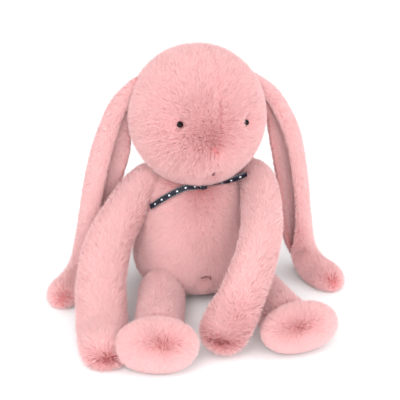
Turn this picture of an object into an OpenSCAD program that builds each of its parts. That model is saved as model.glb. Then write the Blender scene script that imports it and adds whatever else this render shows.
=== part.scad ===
// Seated plush rabbit, millimetres, +Z up.
// Origin at the centre of the flat seat under the torso; the rabbit faces -Y, its own left is +X.
// Skins are the plush backing cloth, without the pile that stands on it.

/* [Cloth and seams] */
// Thickness of the plush backing cloth
skin_t = 1.2; // [0.8:0.1:2]
// Room between a skin and the filling inside it
fill_gap = 0.3; // [0.2:0.1:0.6]
// Room at each seam where a limb's ball end sits in its hollow
seam_gap = 0.5; // [0.3:0.1:1]
// Radius of the stuffing opening in a limb's skin
stuffing_r = 4; // [3:0.5:6]

/* [Torso] */
// Radius of the belly at its widest
torso_r = 57; // [50:1:64]
// Radius of the flat seat
seat_r = 36; // [30:1:44]
// Height of the belly's widest line above the seat
belly_z = 32; // [26:1:38]
// Height of the cut where the neck goes in
torso_h = 118; // [112:1:124]
// How far the back and chest would run on above the belly line
torso_rise = 104; // [98:1:110]
// Radius of the pellet bag in the seat
pellet_bag_r = 32; // [26:1:36]
// Height of the pellet bag
pellet_bag_h = 26; // [18:1:30]
// Radius of the tail pompom
tail_r = 13; // [9:1:16]

/* [Head] */
// Radius of the head, side to side and front to back
head_r = 59; // [52:1:64]
// Half of the head's height
head_half_h = 61; // [56:1:66]
// Radius of the neck wad
neck_r = 18; // [14:1:20]
// How far the neck wad goes up into the head
neck_depth = 17; // [14:1:20]
// How far the head sits forward of the torso
head_forward = 9; // [4:1:14]

/* [Face] */
// Diameter of each moulded eye
eye_d = 8; // [5:0.5:10]
// How far an eye stands out from the cloth
eye_rise = 4; // [2:0.5:5]
// Angle of each eye from the middle of the face
eye_lon = 32; // [24:1:40]
// Angle of each eye above the middle of the head
eye_lat = 8; // [0:1:16]
// Diameter of the eye's post
post_d = 3.2; // [2.4:0.2:4]
// Diameter of the lock washer on the post
washer_d = 13; // [10:1:16]
// Angle of the nose stitch below the middle of the head
nose_lat = 40; // [28:1:44]
// How far the face is turned towards the rabbit's left
face_turn = 3; // [-10:1:10]
// How far the face is tipped down towards the rabbit's left
face_tip = 4; // [-8:1:8]
// Thickness of the embroidery thread
thread_d = 1.4; // [1:0.1:2]

/* [Ears] */
// Thickness of each ear panel
ear_panel_t = 1.6; // [1:0.1:2]
// Radius of the ear's fold along its hanging length
ear_fold_r = 12; // [10:0.5:14]

/* [Arms] */
// Half of the arm's width across its flat way
arm_half_w = 17; // [14:0.5:18]
// Half of the arm's thickness
arm_half_t = 12.5; // [10:0.5:13]
// Radius of the arm's ball end at the shoulder
arm_root_r = 11.5; // [9:0.5:13]

/* [Legs and feet] */
// Radius of the leg
leg_r = 15.5; // [12:0.5:17]
// Length of the leg from hip centre to ankle centre
leg_length = 74; // [62:1:84]
// Angle of the left leg outwards from straight ahead
leg_splay_left = 9; // [6:0.5:18]
// Angle of the right leg outwards from straight ahead
leg_splay_right = 14; // [8:0.5:18]
// Half of the foot's width
foot_half_w = 31; // [25:1:34]
// Half of the foot's height
foot_half_h = 21; // [18:1:24]

/* [Ribbon] */
// Width of the ribbon
ribbon_w = 6; // [4:0.5:8]
// Thickness of the ribbon
ribbon_t = 0.5; // [0.3:0.1:0.8]

/* [Hidden] */

LEFT = 1;
RIGHT = -1;
pink = [0.90, 0.64, 0.65];
pale_pink = [0.95, 0.74, 0.74];
wadding = [0.96, 0.95, 0.92];
pellet_bag_cloth = [0.85, 0.83, 0.78];
black = [0.05, 0.05, 0.05];
washer_white = [0.88, 0.88, 0.88];
thread_brown = [0.45, 0.20, 0.22];
navy = [0.06, 0.07, 0.16];
$fn = 64;

profile_steps = 14;
neck_pos = [0, -4, torso_h + 2];
head_z = neck_pos[2] + neck_r - neck_depth + head_half_h;
head_pos = [0, -head_forward, head_z];
// A shoulder ball rests against the slope beside the neck, clear of it by less than its own radius
shoulder = [46.5, 4, 112];
hip_reach = torso_r + 10;
hip_turn = 42;
hip = [hip_reach * sin(hip_turn), -hip_reach * cos(hip_turn), leg_r];
tail_pos = [0, torso_r + tail_r - 5, 26];
pellet_bag_z = pellet_bag_h / 2 + skin_t + fill_gap + 5;

// Hand-set line of each arm from shoulder to tip: x, y, z and share of the lower arm's girth
arm_left_line = [
    [46.5, 4, 112, 0], [54, -8, 111.5, 0.15], [57, -28, 109.5, 0.5], [51, -62, 98, 0.9], [40, -97, 89, 1],
    [24, -128, 73, 1], [7, -147, 50, 1], [-8, -151, 22, 0.98]
];
arm_right_line = [
    [-46.5, 4, 112, 0], [-56, 1, 105, 0.15], [-69, -8, 92, 0.5], [-91, -28, 67, 0.9], [-104, -56, 43, 1],
    [-109, -82, 26, 1], [-113, -108, 15, 1], [-117, -138, 13, 0.98]
];

// Hand-set spine of each ear from root to tip: x, y, z, share of the fold radius, half angle of the
// fold, direction in which the fold opens, and how far its rear flap runs straight on
ear_left_line = [
    [59.5, 6, 212, 0.4, 95, -1, -0.1, 0, 1], [85, 9, 188, 0.7, 100, -1, -0.15, 0, 2],
    [105, 11, 150, 1, 100, -1, -0.2, 0, 8], [115, 9, 100, 1, 100, -1, -0.2, 0, 9],
    [118, 4, 58, 1.02, 98, -1, -0.2, -0.1, 8], [119, -6, 33, 1.08, 96, -0.9, -0.15, -0.4, 4],
    [121, -22, 21, 1.12, 95, -0.4, -0.1, -0.9, 2], [125, -39, 17.5, 1.12, 95, 0, 0, -1, 1],
    [128, -50, 16, 1, 95, 0, 0, -1, 1]
];
ear_right_line = [
    [-59.5, 6, 212, 0.4, 95, 1, -0.1, 0, 1], [-77, 13, 188, 0.7, 100, 1, -0.25, 0, 8],
    [-92, 20, 150, 0.98, 100, 1, -0.3, 0, 17], [-103, 27, 102, 1, 100, 1, -0.25, 0, 16],
    [-111, 24, 58, 1.02, 98, 1, -0.1, -0.1, 8], [-117, 15, 33, 1.08, 96, 0.9, -0.1, -0.4, 4],
    [-125, 2, 21, 1.12, 95, 0.4, -0.1, -0.9, 2], [-133, -12, 17.5, 1.12, 95, 0, 0, -1, 1],
    [-138, -21, 16, 1, 95, 0, 0, -1, 1]
];

// Hand-set line of each ribbon tail from the knot: x, y, z and turn about its own line
ribbon_tail_right_line = [
    [-4.4, -37.5, 119.3, 60], [-11, -37, 119.8, 50], [-20, -35.5, 119, 40], [-32, -31, 112, 30],
    [-41, -26, 105, 60], [-46, -22, 100, 110], [-50, -18, 96, 60]
];
ribbon_tail_left_line = [
    [4.4, -37.5, 119.3, 60], [11, -37.2, 120.3, 50], [18, -36.5, 121.5, 60], [24, -36, 122.5, 80],
    [30, -35, 124, 110], [36, -34, 125, 70], [40.5, -33, 126, 60]
];

// ---- Lines and sweeps ----

// Catmull-Rom point between rows b and c
function between(a, b, c, d, t) =
    0.5 * ((2 * b) + (c - a) * t + (2 * a - 5 * b + 4 * c - d) * t * t
        + (3 * b - a - 3 * c + d) * t * t * t);

function row(line, i) = line[max(0, min(len(line) - 1, i))];

// Rows of a hand-set line, smoothed, with the given number of steps between two of its rows
function smooth(line, steps) = [
    for (i = [0 : len(line) - 2]) for (s = [0 : steps - 1])
        between(row(line, i - 1), line[i], line[i + 1], row(line, i + 2), s / steps),
    line[len(line) - 1]
];

function place(r) = [r[0], r[1], r[2]];
function unit(v) = v / norm(v);
function heading(rows, i) = unit(place(row(rows, i + 1)) - place(row(rows, i - 1)));
function square_to(v, t) = unit(v - (v * t) * t);

// A closed skin over rings that all have the same number of points. From the given side on, its
// four-cornered faces are split along the other diagonal, so that it lies evenly against the next layer
module rings_solid(rings, crossed_from = 1000) {
    sides = len(rings[0]);
    count = len(rings);
    points = [for (ring = rings) for (p = ring) p];
    walls = [
        for (k = [0 : count - 2]) for (s = [0 : sides - 1])
            let (a = k * sides + s,
                 b = k * sides + (s + 1) % sides,
                 c = b + sides,
                 d = a + sides)
            each s < crossed_from ? [[a, b, c], [a, c, d]] : [[a, b, d], [b, c, d]]
    ];
    start_cap = [for (s = [sides - 1 : -1 : 0]) s];
    end_cap = [for (s = [0 : sides - 1]) (count - 1) * sides + s];
    polyhedron(points, concat([start_cap], walls, [end_cap]), convexity = 6);
}

// ---- Torso ----

// Half outline of the torso, drawn in by a given depth
function torso_outline(inset) = concat(
    [[0, inset]],
    [
        for (i = [0 : 8])
            let (a = 90 * i / 8)
            [seat_r + (torso_r - seat_r) * sin(a) - inset,
             belly_z - (belly_z - inset) * cos(a)]
    ],
    [
        for (i = [1 : profile_steps])
            let (z = belly_z + (torso_h - inset - belly_z) * i / profile_steps,
                 r = torso_r * sqrt(1 - pow((z - belly_z) / torso_rise, 2)))
            [r - inset * (1 + 0.35 * i / profile_steps), z]
    ],
    [[0, torso_h - inset]]
);

module sockets(extra) {
    for (side = [LEFT, RIGHT]) {
        translate([side * shoulder[0], shoulder[1], shoulder[2]]) sphere(r = arm_root_r + extra);
        translate([side * hip[0], hip[1], hip[2]]) sphere(r = leg_r + extra);
    }
    translate(tail_pos) sphere(r = tail_r + extra);
}

module torso_skin() {
    color(pink) difference() {
        rotate_extrude() polygon(torso_outline(0));
        sockets(seam_gap);
        translate(neck_pos) sphere(r = neck_r + seam_gap);
        difference() {
            rotate_extrude() polygon(torso_outline(skin_t));
            sockets(seam_gap + skin_t);
        }
    }
}

module pellet_bag_shape(extra) {
    translate([0, 0, pellet_bag_z]) rotate_extrude() polygon([
        for (i = [0 : 16])
            let (a = -90 + 180 * i / 16)
            [(pellet_bag_r + extra) * cos(a), (pellet_bag_h / 2 + extra) * sin(a)]
    ]);
}

module torso_filling() {
    color(wadding) difference() {
        rotate_extrude() polygon(torso_outline(skin_t + fill_gap));
        sockets(seam_gap + skin_t + fill_gap);
        translate(neck_pos) sphere(r = neck_r + seam_gap);
        pellet_bag_shape(fill_gap);
    }
}

module seat_pellet_bag() {
    color(pellet_bag_cloth) pellet_bag_shape(0);
}

module tail_skin() {
    color(pink) difference() {
        translate(tail_pos) sphere(r = tail_r);
        translate(tail_pos) sphere(r = tail_r - skin_t);
        translate(tail_pos) rotate([50, 0, 0]) cylinder(r = stuffing_r, h = tail_r + 1);
    }
}

module tail_filling() {
    color(wadding) translate(tail_pos) sphere(r = tail_r - skin_t - fill_gap);
}

// A short arch of thread on the belly
module navel_stitch() {
    navel_z = 26;
    navel_turn = -4;
    arch_r = 5;
    stand_off = thread_d / 2 + fill_gap;
    color(thread_brown) rotate([0, 0, navel_turn])
        translate([0, -torso_r - stand_off, navel_z]) rotate([90, 0, 0])
            rotate_extrude(angle = 180) translate([arch_r, 0]) circle(d = thread_d, $fn = 24);
}

// ---- Neck and head ----

module neck_wad() {
    color(wadding) translate(neck_pos) sphere(r = neck_r);
}

module head_shape(inset) {
    translate(head_pos) rotate([0, 0, face_turn]) rotate([0, face_tip, 0]) rotate_extrude() polygon([
        for (i = [0 : 24])
            let (a = -90 + 180 * i / 24)
            [(head_r - inset) * cos(a), (head_half_h - inset) * sin(a)]
    ]);
}

// Stands its children on the head's cloth at an angle round and up, with +Z pointing outwards
module on_face(lon, lat) {
    u = [cos(lat) * sin(lon), -cos(lat) * cos(lon), sin(lat)];
    reach = 1 / sqrt((u[0] * u[0] + u[1] * u[1]) / pow(head_r, 2) + pow(u[2] / head_half_h, 2));
    out = unit([u[0] / pow(head_r, 2), u[1] / pow(head_r, 2), u[2] / pow(head_half_h, 2)]);
    translate(head_pos) rotate([0, 0, face_turn]) rotate([0, face_tip, 0]) translate(reach * u)
        rotate([0, 0, atan2(out[1], out[0])]) rotate([0, 90 - asin(out[2]), 0]) children();
}

washer_t = 1.2;
washer_sink = skin_t + pow(washer_d / 2, 2) / head_r / 2 + 2 * fill_gap;
post_length = washer_sink + washer_t + 2.5;

module head_skin() {
    color(pink) difference() {
        head_shape(0);
        head_shape(skin_t);
        translate(neck_pos) sphere(r = neck_r + seam_gap);
        for (side = [LEFT, RIGHT]) on_face(side * eye_lon, eye_lat)
            translate([0, 0, -5]) cylinder(d = post_d + 0.4, h = 10);
    }
}

module head_filling() {
    color(wadding) difference() {
        head_shape(skin_t + fill_gap);
        translate(neck_pos) sphere(r = neck_r + seam_gap);
        for (side = [LEFT, RIGHT]) on_face(side * eye_lon, eye_lat)
            translate([0, 0, -post_length - 1]) cylinder(d = washer_d + 1, h = post_length + 3);
    }
}

module eye(side) {
    color(black) on_face(side * eye_lon, eye_lat) {
        translate([0, 0, fill_gap]) rotate_extrude() polygon(concat(
            [[0, 0]],
            [
                for (i = [0 : 10])
                    let (a = 90 * i / 10)
                    [eye_d / 2 * cos(a), eye_rise * sin(a)]
            ]
        ));
        translate([0, 0, -post_length]) cylinder(d = post_d, h = post_length + fill_gap + 0.5);
    }
}

module eye_washer(side) {
    color(washer_white) on_face(side * eye_lon, eye_lat)
        translate([0, 0, -washer_sink - washer_t]) difference() {
            cylinder(d = washer_d, h = washer_t);
            translate([0, 0, -1]) cylinder(d = post_d + 0.1, h = washer_t + 2);
        }
}

// One upright bar of thread for nose and mouth
module nose_stitch() {
    bar = 5;
    nose_lon = 4;
    color(thread_brown) on_face(nose_lon, -nose_lat)
        translate([-bar / 2, 0, thread_d / 2 + fill_gap]) rotate([0, 90, 0])
            cylinder(d = thread_d, h = bar, $fn = 24);
}

// ---- Ears ----

ear_steps = 2;
fold_sides = 8;

// A point of the folded cloth at a radius: the arc runs from -1 to 1, the rear flap from there to 2 or -2
function fold_point(r, centre, across, open, radius, s) =
    let (a = r[4] * max(-1, min(1, s)),
         on = max(0, abs(s) - 1) * r[8])
    centre + radius * (across * sin(a) - open * cos(a)) + on * sign(s) * (across * cos(a) + open * sin(a));

// One panel's ring between two depths of the folded cloth
function panel_ring(rows, i, stops, outer, inner) =
    let (r = rows[i],
         t = heading(rows, i),
         open = square_to([r[5], r[6], r[7]], t),
         across = cross(t, open),
         fold = r[3] * ear_fold_r,
         centre = place(r) + open * fold,
         last = len(stops) - 1)
    concat(
        [for (k = [0 : last]) fold_point(r, centre, across, open, fold - outer, stops[k])],
        [for (k = [last : -1 : 0]) fold_point(r, centre, across, open, fold - inner, stops[k])]
    );

// The last rows draw the fold in to the ear's round tip
function ear_rows(line) =
    let (rows = smooth(line, ear_steps),
         last = rows[len(rows) - 1],
         t = heading(rows, len(rows) - 1),
         open = square_to([last[5], last[6], last[7]], t),
         fold = last[3] * ear_fold_r)
    concat(rows, [
        for (s = [[5, 0.9], [9.5, 0.7], [12, 0.42]])
            let (c = place(last) + t * s[0] + open * fold * (1 - s[1]))
            [c[0], c[1], c[2], last[3] * s[1], last[4], last[5], last[6], last[7], last[8] * s[1]]
    ]);

// The flap is at the rear, which is the arc's far end on the left ear and its near end on the right
module ear_panel(line, outer, inner) {
    rows = ear_rows(line);
    arc = [for (s = [0 : fold_sides]) 2 * s / fold_sides - 1];
    stops = line[0][0] > 0 ? concat(arc, [1.5, 2]) : concat([-2, -1.5], arc);
    rings_solid([for (i = [0 : len(rows) - 1]) panel_ring(rows, i, stops, outer, inner)], len(stops));
}

module ear_back(line) {
    color(pink) ear_panel(line, 0, ear_panel_t);
}

module ear_lining(line) {
    color(pale_pink) ear_panel(line, ear_panel_t + 0.2, 2 * ear_panel_t + 0.2);
}

// ---- Arms ----

arm_steps = 2;
arm_sides = 14;
cap_turns = [asin(stuffing_r / arm_root_r), 42, 66];

function girth(half, r, inset) = arm_root_r + (half - arm_root_r) * r[3] - inset;

// An oval ring square to the arm's line; turn and at_end make the round ends
function arm_ring(rows, i, inset, half_up, half_across, turn, at_end) =
    let (r = rows[i],
         t = heading(rows, i),
         up = square_to([0, 0, 1], t),
         across = cross(up, t),
         high = girth(half_up, r, inset),
         wide = girth(half_across, r, inset),
         centre = place(r) + t * (high + wide) / 2 * cos(turn) * at_end)
    [
        for (s = [0 : arm_sides - 1])
            let (a = 360 * s / arm_sides)
            centre + sin(turn) * (up * high * cos(a) + across * wide * sin(a))
    ];

function arm_rings(line, half_up, half_across, inset) =
    let (rows = smooth(line, arm_steps), last = len(rows) - 1)
    concat(
        [for (turn = cap_turns) arm_ring(rows, 0, inset, half_up, half_across, turn, -1)],
        [for (i = [0 : last]) arm_ring(rows, i, inset, half_up, half_across, 90, 0)],
        [for (k = [2 : -1 : 0]) arm_ring(rows, last, inset, half_up, half_across, cap_turns[k], 1)]
    );

// The skin's rings run from the inside of the tip back to the open root, then out again to the tip
module arm_skin(line, half_up, half_across) {
    inner = arm_rings(line, half_up, half_across, skin_t);
    outer = arm_rings(line, half_up, half_across, 0);
    color(pink) rings_solid(concat([for (i = [len(inner) - 1 : -1 : 0]) inner[i]], outer));
}

module arm_filling(line, half_up, half_across) {
    color(wadding) rings_solid(arm_rings(line, half_up, half_across, skin_t + fill_gap), 0);
}

// ---- Legs and feet ----

module leg_frame(side) {
    splay = side == LEFT ? leg_splay_left : leg_splay_right;
    translate([side * hip[0], hip[1], hip[2]]) rotate([0, 0, side * splay])
        rotate([90, 0, 0]) children();
}

module leg_shape(inset) {
    cylinder(r = leg_r - inset, h = leg_length);
    sphere(r = leg_r - inset);
    translate([0, 0, leg_length]) sphere(r = leg_r - inset);
}

// The skin is open at the ankle, where it is sewn to the foot
module leg_skin(side) {
    color(pink) leg_frame(side) difference() {
        leg_shape(0);
        leg_shape(skin_t);
        translate([0, 0, leg_length]) cylinder(r = stuffing_r, h = leg_r + 2);
    }
}

module leg_filling(side) {
    color(wadding) leg_frame(side) leg_shape(skin_t + fill_gap);
}

foot_out = leg_length + leg_r + seam_gap + foot_half_h;
foot_lift = foot_half_h - leg_r;

module foot_shape(inset) {
    translate([0, foot_lift, foot_out]) rotate([0, 90, 0]) rotate_extrude() polygon([
        for (i = [0 : 20])
            let (a = -90 + 180 * i / 20)
            [(foot_half_h - inset) * cos(a), (foot_half_w - inset) * sin(a)]
    ]);
}

module foot_skin(side) {
    color(pink) leg_frame(side) difference() {
        foot_shape(0);
        foot_shape(skin_t);
        translate([0, foot_lift, leg_length + leg_r - 2]) cylinder(r = stuffing_r, h = foot_half_h);
    }
}

module foot_filling(side) {
    color(wadding) leg_frame(side) foot_shape(skin_t + fill_gap);
}

// ---- Ribbon ----

// The loop lies flat round the neck, on the cut of the torso
module ribbon_loop() {
    loop_r = 24.5;
    color(navy) translate([0, -3, torso_h + 0.4]) rotate_extrude()
        translate([loop_r, 0]) square([ribbon_w, ribbon_t]);
}

module ribbon_knot() {
    knot = [8, 4, 6];
    color(navy) translate([0, -37.5, torso_h + 1]) rotate([-35, 0, 0]) cube(knot, center = true);
}

// A flat strip whose rings turn about its own line
module ribbon_strip(line) {
    rows = smooth(line, 2);
    color(navy) rings_solid([
        for (i = [0 : len(rows) - 1])
            let (t = heading(rows, i),
                 up = square_to([0, 0, 1], t),
                 out = cross(t, up),
                 wide = up * cos(rows[i][3]) + out * sin(rows[i][3]),
                 thick = cross(t, wide),
                 c = place(rows[i]))
            [
                c + wide * ribbon_w / 2 + thick * ribbon_t / 2,
                c + wide * ribbon_w / 2 - thick * ribbon_t / 2,
                c - wide * ribbon_w / 2 - thick * ribbon_t / 2,
                c - wide * ribbon_w / 2 + thick * ribbon_t / 2
            ]
    ]);
}

torso_skin();
torso_filling();
seat_pellet_bag();
tail_skin();
tail_filling();
navel_stitch();
neck_wad();
head_skin();
head_filling();
nose_stitch();
eye(LEFT);  // eye_left
eye(RIGHT);  // eye_right
eye_washer(LEFT);  // eye_washer_left
eye_washer(RIGHT);  // eye_washer_right
ear_back(ear_left_line);  // ear_left_back
ear_lining(ear_left_line);  // ear_left_lining
ear_back(ear_right_line);  // ear_right_back
ear_lining(ear_right_line);  // ear_right_lining
arm_skin(arm_left_line, arm_half_w, arm_half_t);  // arm_left_skin
arm_filling(arm_left_line, arm_half_w, arm_half_t);  // arm_left_filling
arm_skin(arm_right_line, arm_half_t, arm_half_w);  // arm_right_skin
arm_filling(arm_right_line, arm_half_t, arm_half_w);  // arm_right_filling
leg_skin(LEFT);  // leg_left_skin
leg_filling(LEFT);  // leg_left_filling
leg_skin(RIGHT);  // leg_right_skin
leg_filling(RIGHT);  // leg_right_filling
foot_skin(LEFT);  // foot_left_skin
foot_filling(LEFT);  // foot_left_filling
foot_skin(RIGHT);  // foot_right_skin
foot_filling(RIGHT);  // foot_right_filling
ribbon_loop();
ribbon_knot();
ribbon_strip(ribbon_tail_left_line);  // ribbon_tail_left
ribbon_strip(ribbon_tail_right_line);  // ribbon_tail_right
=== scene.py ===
"""Seated plush rabbit: brushed pink pile over stuffed panels, moulded eyes, sewn stitches and a printed ribbon.

Metres, +Z up. The rabbit faces -Y and its own left is +X. Each section makes one part of the toy.
"""

import math

import bpy
import numpy as np
from mathutils import Matrix, Vector


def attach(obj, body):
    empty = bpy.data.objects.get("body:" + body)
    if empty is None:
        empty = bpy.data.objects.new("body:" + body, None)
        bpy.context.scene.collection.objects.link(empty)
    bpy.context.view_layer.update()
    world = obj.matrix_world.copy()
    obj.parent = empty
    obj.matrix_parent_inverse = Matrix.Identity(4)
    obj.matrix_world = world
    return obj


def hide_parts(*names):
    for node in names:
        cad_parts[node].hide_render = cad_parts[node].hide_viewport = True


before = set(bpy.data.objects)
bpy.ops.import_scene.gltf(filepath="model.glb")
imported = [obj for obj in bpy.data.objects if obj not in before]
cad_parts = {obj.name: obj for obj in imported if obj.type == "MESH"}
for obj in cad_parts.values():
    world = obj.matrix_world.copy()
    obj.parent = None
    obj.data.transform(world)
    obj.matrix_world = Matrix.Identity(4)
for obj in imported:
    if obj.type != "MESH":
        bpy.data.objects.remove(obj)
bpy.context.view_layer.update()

# ---- Camera ----
# A long lens a metre away, a little above the toy and to its right.

camera = bpy.data.objects.new("Camera", bpy.data.cameras.new("Camera"))
bpy.context.collection.objects.link(camera)
camera.data.lens = 94.5
camera.data.sensor_width = 36.0
camera.location = (-0.2191, -0.9339, 0.5158)
looking = Vector((0.0049, -0.0012, 0.0887)) - camera.location
camera.rotation_euler = looking.to_track_quat("-Z", "Y").to_euler()
bpy.context.scene.camera = camera
bpy.context.scene.view_settings.view_transform = "Standard"

# ---- Ribbon tails ----
# The two loose ends of the neck ribbon: 6 mm navy satin with a pale printed border and small marks.
# They leave the knot under the chin, turn to lie with their printed face forwards and end in a straight cut.


def smoothed(rows, steps):
    """Rows of a given line with points of a Catmull-Rom curve between them."""
    rows = np.asarray(rows, float)
    at = np.clip(np.arange(-1, len(rows) + 1), 0, len(rows) - 1)
    out = []
    for i in range(len(rows) - 1):
        a, b, c, d = rows[at[i]], rows[at[i + 1]], rows[at[i + 2]], rows[at[i + 3]]
        for t in np.arange(steps) / steps:
            out.append(
                0.5
                * (
                    2 * b
                    + (c - a) * t
                    + (2 * a - 5 * b + 4 * c - d) * t * t
                    + (3 * b - a - 3 * c + d) * t**3
                )
            )
    return np.array(out + [rows[-1]])


def unit(v):
    return v / np.maximum(np.linalg.norm(v, axis=-1, keepdims=True), 1e-12)


def headings(line):
    """The direction of a line at each of its points."""
    return unit(np.concatenate([line[1:], line[-1:]]) - np.concatenate([line[:1], line[:-1]]))


def wrapped(name, rings, ends=True):
    """A surface over rings of points, closed at both ends, with its map round and along it."""
    rings = np.asarray(rings, float)
    count, sides = rings.shape[:2]
    points = list(rings.reshape(-1, 3))
    step = np.linalg.norm(np.diff(rings, axis=0), axis=2).mean(1)
    along = np.concatenate([[0], np.cumsum(step)])
    along = 0.01 + 0.98 * along / along[-1]
    faces, corners = [], []
    for k in range(count - 1):
        for s in range(sides):
            n = (s + 1) % sides
            faces.append((k * sides + s, k * sides + n, (k + 1) * sides + n, (k + 1) * sides + s))
            u, w = s / sides, (s + 1) / sides
            corners += [(u, along[k]), (w, along[k]), (w, along[k + 1]), (u, along[k + 1])]
    if ends:
        for k, v in ((0, 0.0), (count - 1, 1.0)):
            points.append(rings[k].mean(0))
            for s in range(sides):
                n = (s + 1) % sides
                pair = (k * sides + n, k * sides + s) if k == 0 else (k * sides + s, k * sides + n)
                faces.append((len(points) - 1, *pair))
                at = (n, s) if k == 0 else (s, n)
                corners += [((s + 0.5) / sides, v)] + [
                    ((s + 1) / sides if i != s else s / sides, along[k]) for i in at
                ]
    mesh = bpy.data.meshes.new(name)
    mesh.from_pydata([tuple(p) for p in points], [], faces)
    layer = mesh.uv_layers.new(name="UVMap")
    layer.data.foreach_set("uv", np.array(corners, np.float32).ravel())
    a = np.array(points)
    volume = 0.0
    for f in faces:
        volume += np.dot(a[f[0]], np.cross(a[f[1]], a[f[2]]))
        if len(f) == 4:
            volume += np.dot(a[f[0]], np.cross(a[f[2]], a[f[3]]))
    if volume < 0:
        mesh.flip_normals()
    mesh.shade_smooth()
    piece = bpy.data.objects.new(name, mesh)
    bpy.context.collection.objects.link(piece)
    return piece


class Nodes:
    """A node tree with short ways to add and link its nodes."""

    def __init__(self, tree):
        self.tree = tree

    def add(self, kind, settings=None, **inputs):
        node = self.tree.nodes.new(kind)
        for key, value in (settings or {}).items():
            setattr(node, key, value)
        for key, value in inputs.items():
            socket = node.inputs[int(key[1:]) if key[0] == "i" and key[1:].isdigit() else key.replace("_", " ")]
            if isinstance(value, bpy.types.NodeSocket):
                self.tree.links.new(value, socket)
            else:
                socket.default_value = value
        return node

    def math(self, kind, a, b=0.0, c=0.0, clamp=False):
        return self.add("ShaderNodeMath", {"operation": kind, "use_clamp": clamp}, i0=a, i1=b, i2=c).outputs[0]

    def vector(self, kind, a, b=(0, 0, 0), scale=None):
        node = self.add("ShaderNodeVectorMath", {"operation": kind}, i0=a)
        if scale is not None:
            if isinstance(scale, bpy.types.NodeSocket):
                self.tree.links.new(scale, node.inputs["Scale"])
            else:
                node.inputs["Scale"].default_value = scale
        elif isinstance(b, bpy.types.NodeSocket):
            self.tree.links.new(b, node.inputs[1])
        else:
            node.inputs[1].default_value = b
        return node.outputs[0]

    def blend(self, factor, a, b, mode="MIX"):
        node = self.add("ShaderNodeMix", {"data_type": "RGBA", "blend_type": mode}, i0=factor)
        for socket, value in ((node.inputs[6], a), (node.inputs[7], b)):
            if isinstance(value, bpy.types.NodeSocket):
                self.tree.links.new(value, socket)
            else:
                socket.default_value = (*value, 1)
        return node.outputs[2]


def finish(name, roughness, specular=0.3, sheen=0.0, coat=0.0):
    """A material with its main shader, ready for the nodes of its pattern."""
    material = bpy.data.materials.new(name)
    material.use_nodes = True
    nodes = Nodes(material.node_tree)
    shader = material.node_tree.nodes["Principled BSDF"]
    shader.inputs["Roughness"].default_value = roughness
    shader.inputs["Specular IOR Level"].default_value = specular
    shader.inputs["Sheen Weight"].default_value = sheen
    shader.inputs["Coat Weight"].default_value = coat
    return material, nodes, shader


def printed_satin():
    """Navy satin: fine weft ribs, a pale dashed border and a row of small plain marks."""
    material, n, shader = finish("Navy printed satin", 0.45, 0.3)
    uv = n.add("ShaderNodeUVMap", {"uv_map": "Ribbon"}).outputs[0]
    xyz = n.add("ShaderNodeSeparateXYZ", i0=uv)
    along, across = xyz.outputs[0], xyz.outputs[1]
    edge = n.math("ABSOLUTE", across)
    border = n.math("MULTIPLY", n.math("GREATER_THAN", edge, 0.0023), n.math("LESS_THAN", edge, 0.0026))
    dash = n.math("GREATER_THAN", n.math("FRACT", n.math("MULTIPLY", along, 400.0)), 0.6)
    cell = n.math("SUBTRACT", n.math("FRACT", n.math("MULTIPLY", along, 110.0)), 0.5)
    bar = n.math("LESS_THAN", n.math("ABSOLUTE", cell), 0.10)
    middle = n.math("LESS_THAN", edge, 0.0007)
    mark = n.math("MAXIMUM", n.math("MULTIPLY", border, dash), n.math("MULTIPLY", bar, middle))
    weft = n.add("ShaderNodeTexWave", {"bands_direction": "X"}, Vector=uv, Scale=900.0, Distortion=0.2)
    cloudy = n.add("ShaderNodeTexNoise", Vector=uv, Scale=300.0, Detail=3.0)
    navy = n.blend(cloudy.outputs[0], (0.002, 0.002, 0.008), (0.005, 0.006, 0.020))
    colour = n.blend(mark, navy, (0.74, 0.76, 0.80))
    n.tree.links.new(colour, shader.inputs["Base Color"])
    bump = n.add("ShaderNodeBump", Strength=0.25, Distance=0.0001, Height=weft.outputs["Fac"])
    n.tree.links.new(bump.outputs[0], shader.inputs["Normal"])
    return material


def ribbon_strip(name, line, turns, cup=0.0004, half=0.003, thick=0.00045):
    """A strip of ribbon along a line, turned about it, with a slight cup and rounded selvedges."""
    t = headings(line)
    up = np.tile([0.0, 0.0, 1.0], (len(line), 1))
    up = unit(up - (up * t).sum(1, keepdims=True) * t)
    out = np.cross(t, up)
    turn = np.radians(turns)[:, None]
    wide = up * np.cos(turn) + out * np.sin(turn)
    face = np.cross(t, wide)
    top = np.linspace(-1, 1, 11)
    v = np.concatenate([top, top[::-1]])
    side = np.concatenate([np.ones(11), -np.ones(11)]) * np.sqrt(1.02 - v**4)
    rings = [
        c + np.outer(v * half, w) + np.outer(side * thick / 2 + cup * (1 - v**2), f)
        for c, w, f in zip(line, wide, face)
    ]
    piece = wrapped(name, rings)
    length = np.concatenate([[0], np.cumsum(np.linalg.norm(np.diff(line, axis=0), axis=1))])
    co = np.array([p.co for p in piece.data.vertices])
    near = np.linalg.norm(co[:, None] - line[None], axis=2).argmin(1)
    across = ((co - line[near]) * wide[near]).sum(1)
    layer = piece.data.uv_layers.new(name="Ribbon")
    of = np.array([l.vertex_index for l in piece.data.loops])
    layer.data.foreach_set("uv", np.stack([length[near], across], 1)[of].astype(np.float32).ravel())
    piece.data.materials.append(satin)
    return piece


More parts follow.
